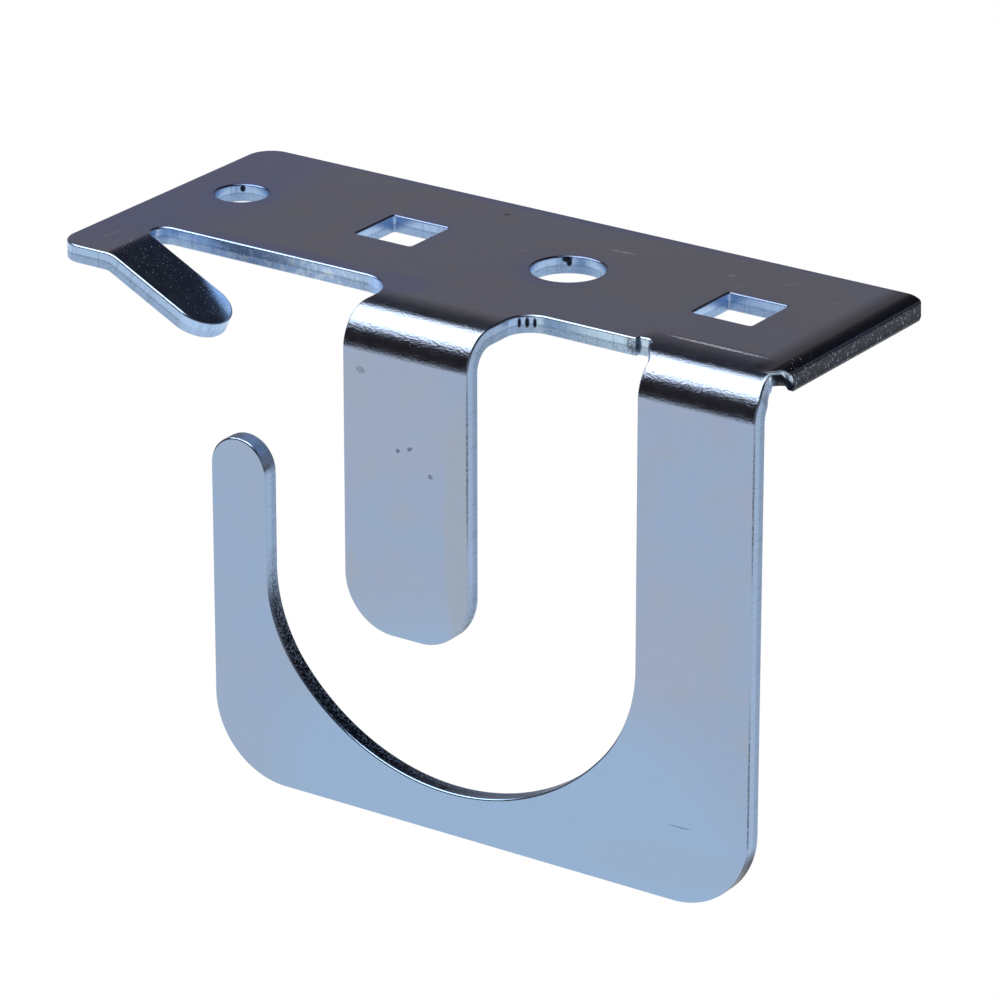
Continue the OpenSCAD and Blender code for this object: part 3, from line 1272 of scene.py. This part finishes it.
        # painted glints, in the sparkle colour
        painted_glints = s.marks(self.painted_glints)
        face = n.blend(painted_glints, self.face_colour(s), self.sparkle)
        cut = n.blend(painted_glints, self.cut_colour(s), self.sparkle)
        stained = n.times(s.marks(self.stains), s.pattern(self.stain_grain))
        scuffed = n.times(s.marks(self.scuffs), s.pattern(self.scuff_grain))
        specked = n.times(s.marks(self.specks), s.pattern(self.speck_grain))
        scuffed = n.math("MAXIMUM", scuffed, specked)
        colour = n.blend(stained, n.blend(s.wall, face, cut), self.stain)
        colour = n.blend(scuffed, colour, self.scuff)
        dull = n.math("MAXIMUM", scuffed, n.times(painted_glints, self.glint_dull))
        dull = n.times(dull, self.scuffed_dull)
        rolled = n.math("ADD", s.pattern((self.mottle, self.mottle_dull)), dull)
        cut = n.math("ADD", n.times(s.torn, self.torn_dull), self.punched_dull)
        rough = n.between(s.wall, rolled, cut)
        bump = n.add("ShaderNodeBump")
        n.put(bump, "Height", self.height(s))
        bump.inputs["Distance"].default_value = self.bump
        bump.inputs["Strength"].default_value = 1.0
        shader = n.add("ShaderNodeBsdfPrincipled")
        n.put(shader, "Base Color", colour)
        shader.inputs["Metallic"].default_value = 1.0
        n.put(shader, "Roughness", rough)
        n.put(shader, "Normal", bump.outputs[0])
        n.put(n.add("ShaderNodeOutputMaterial"), "Surface", shader.outputs[0])
        return made


@dataclass
class Studio:
    """The pale floor, the dim room round it, the lights and the camera. Sizes are in metres."""

    floor_drop: float = 0.26
    floor_size: float = 60.0
    pale: Triple = (0.8, 0.8, 0.8)
    white: Triple = (1.0, 1.0, 1.0)
    white_to: Pair = (1.0, 1.3)
    dim: Triple = (0.035, 0.026, 0.026)
    dark_corner: Pair = (-0.57, -0.822)
    corner_fade: Pair = (0.93, 0.72)
    room: tuple[tuple[float, Triple], ...] = (
        (0.0, (0.35, 0.33, 0.34)),
        (0.2, (0.30, 0.275, 0.285)),
        (0.36, (0.27, 0.229, 0.226)),
        (0.47, (0.10, 0.085, 0.085)),
        (0.6, (0.02, 0.022, 0.03)),
        (1.0, (0.03, 0.035, 0.05)),
    )
    box_height: float = 1.0
    box_place: float = -0.72
    box_width: float = 1.75
    boxes: tuple[tuple[str, float, float, float], ...] = (
        ("soft_box", -0.375, 1.15, 3.6),
        ("soft_box_edge", 0.24, 0.08, 1.0),
        ("soft_box_fringe", 0.32, 0.08, 0.4),
    )
    focal: float = 221.48
    sensor: float = 36.0
    place: Triple = (0.33878, -0.50606, 0.2206)
    azimuth: float = 34.475
    elevation: float = 22.066

    def floor(self) -> bpy.types.Object:
        """Lays a wide pale floor.

        It is white to the camera and, near the part, in the metal; further off the metal sees it
        dim. From below it is clear, so that the part's underside can be seen.

        Returns:
            The floor.
        """
        h = self.floor_size / 2
        mesh = bpy.data.meshes.new("floor")
        z = -self.floor_drop
        mesh.from_pydata([(-h, -h, z), (h, -h, z), (h, h, z), (-h, h, z)], [], [(0, 1, 2, 3)])
        floor = bpy.data.objects.new("floor", mesh)
        bpy.context.scene.collection.objects.link(floor)
        made = bpy.data.materials.new("pale_floor")
        made.use_nodes = True
        n = Nodes(made.node_tree)
        rays = n.add("ShaderNodeLightPath").outputs
        mirrored = n.math("MAXIMUM", rays["Is Glossy Ray"], rays["Is Transmission Ray"])
        seen = n.math("MAXIMUM", rays["Is Camera Ray"], mirrored)
        flat = n.vector("MULTIPLY", n.add("ShaderNodeTexCoord").outputs["Object"], (1, 1, 0))
        away = n.vector("LENGTH", flat.outputs[0]).outputs["Value"]
        far = n.times(mirrored, n.ramp(away, *self.white_to))
        pale = n.add("ShaderNodeBsdfDiffuse")
        pale.inputs["Color"].default_value = (*self.pale, 1)
        glow = n.add("ShaderNodeEmission")
        n.put(glow, "Color", n.blend(far, self.white, self.dim))
        above = n.mix(seen, pale.outputs[0], glow.outputs[0])
        under = n.add("ShaderNodeNewGeometry").outputs["Backfacing"]
        clear = n.add("ShaderNodeBsdfTransparent").outputs[0]
        n.put(n.add("ShaderNodeOutputMaterial"), "Surface", n.mix(under, above, clear))
        mesh.materials.append(made)
        return floor

    def world(self) -> None:
        """Makes a dim room round the floor, white to the camera.

        It is soft grey low down and dark above. One front corner is dark all the way, where the
        dot product of the level direction and the corner's direction is near 1.
        """
        world = bpy.data.worlds.new("studio_room")
        world.use_nodes = True
        bpy.context.scene.world = world
        n = Nodes(world.node_tree)
        at = n.add("ShaderNodeTexCoord").outputs["Generated"]
        split = n.add("ShaderNodeSeparateXYZ")
        n.put(split, 0, at)
        ramp = n.add("ShaderNodeValToRGB")
        n.put(ramp, 0, split.outputs[2])
        ramp.color_ramp.interpolation = "B_SPLINE"
        stops = ramp.color_ramp.elements
        for stop, (position, colour) in zip(stops, (self.room[0], self.room[-1])):
            stop.position, stop.color = position, (*colour, 1)
        for position, colour in self.room[1:-1]:
            stops.new(position).color = (*colour, 1)
        level = n.vector("NORMALIZE", n.vector("MULTIPLY", at, (1, 1, 0)).outputs[0]).outputs[0]
        towards = n.vector("DOT_PRODUCT", level, (*self.dark_corner, 0)).outputs["Value"]
        away = n.ramp(towards, *self.corner_fade)
        colour = n.blend(away, self.dim, ramp.outputs[0])
        to_camera = n.add("ShaderNodeLightPath").outputs["Is Camera Ray"]
        background = n.add("ShaderNodeBackground")
        n.put(background, "Color", n.blend(to_camera, colour, self.white))
        n.put(n.add("ShaderNodeOutputWorld"), "Surface", background.outputs[0])

    def light(self) -> None:
        """Hangs one large soft box above the part and to its left, with two dimmer strips behind.

        A box's power in watts is its strength times pi times its area.
        """
        for name, y, size, strength in self.boxes:
            data = bpy.data.lights.new(name, "AREA")
            data.shape = "RECTANGLE"
            data.size, data.size_y = self.box_width, size
            data.energy = strength * math.pi * self.box_width * size
            box = bpy.data.objects.new(name, data)
            box.location = (self.box_place, y, self.box_height)
            bpy.context.scene.collection.objects.link(box)

    def camera(self) -> None:
        """Sets the camera at the photograph's angle."""
        data = bpy.data.cameras.new("camera")
        data.lens = self.focal
        data.sensor_width = self.sensor
        data.clip_end = 100.0
        camera = bpy.data.objects.new("camera", data)
        camera.location = self.place
        tilt = math.radians(90 - self.elevation)
        camera.rotation_euler = (tilt, 0, math.radians(self.azimuth))
        bpy.context.scene.collection.objects.link(camera)
        bpy.context.scene.camera = camera

    def build(self) -> None:
        """Sets up the whole studio."""
        bpy.context.scene.view_settings.view_transform = "Standard"
        self.floor()
        self.world()
        self.light()
        self.camera()


def main() -> None:
    """Builds the bracket and the studio."""
    piece = Bracket().build()
    piece.data.materials.append(BrightZinc().material())
    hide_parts("bracket")
    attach(piece, "root")
    log.info("bracket_sheet: %d triangles", len(piece.data.polygons))
    Studio().build()


if __name__ == "__main__":
    main()
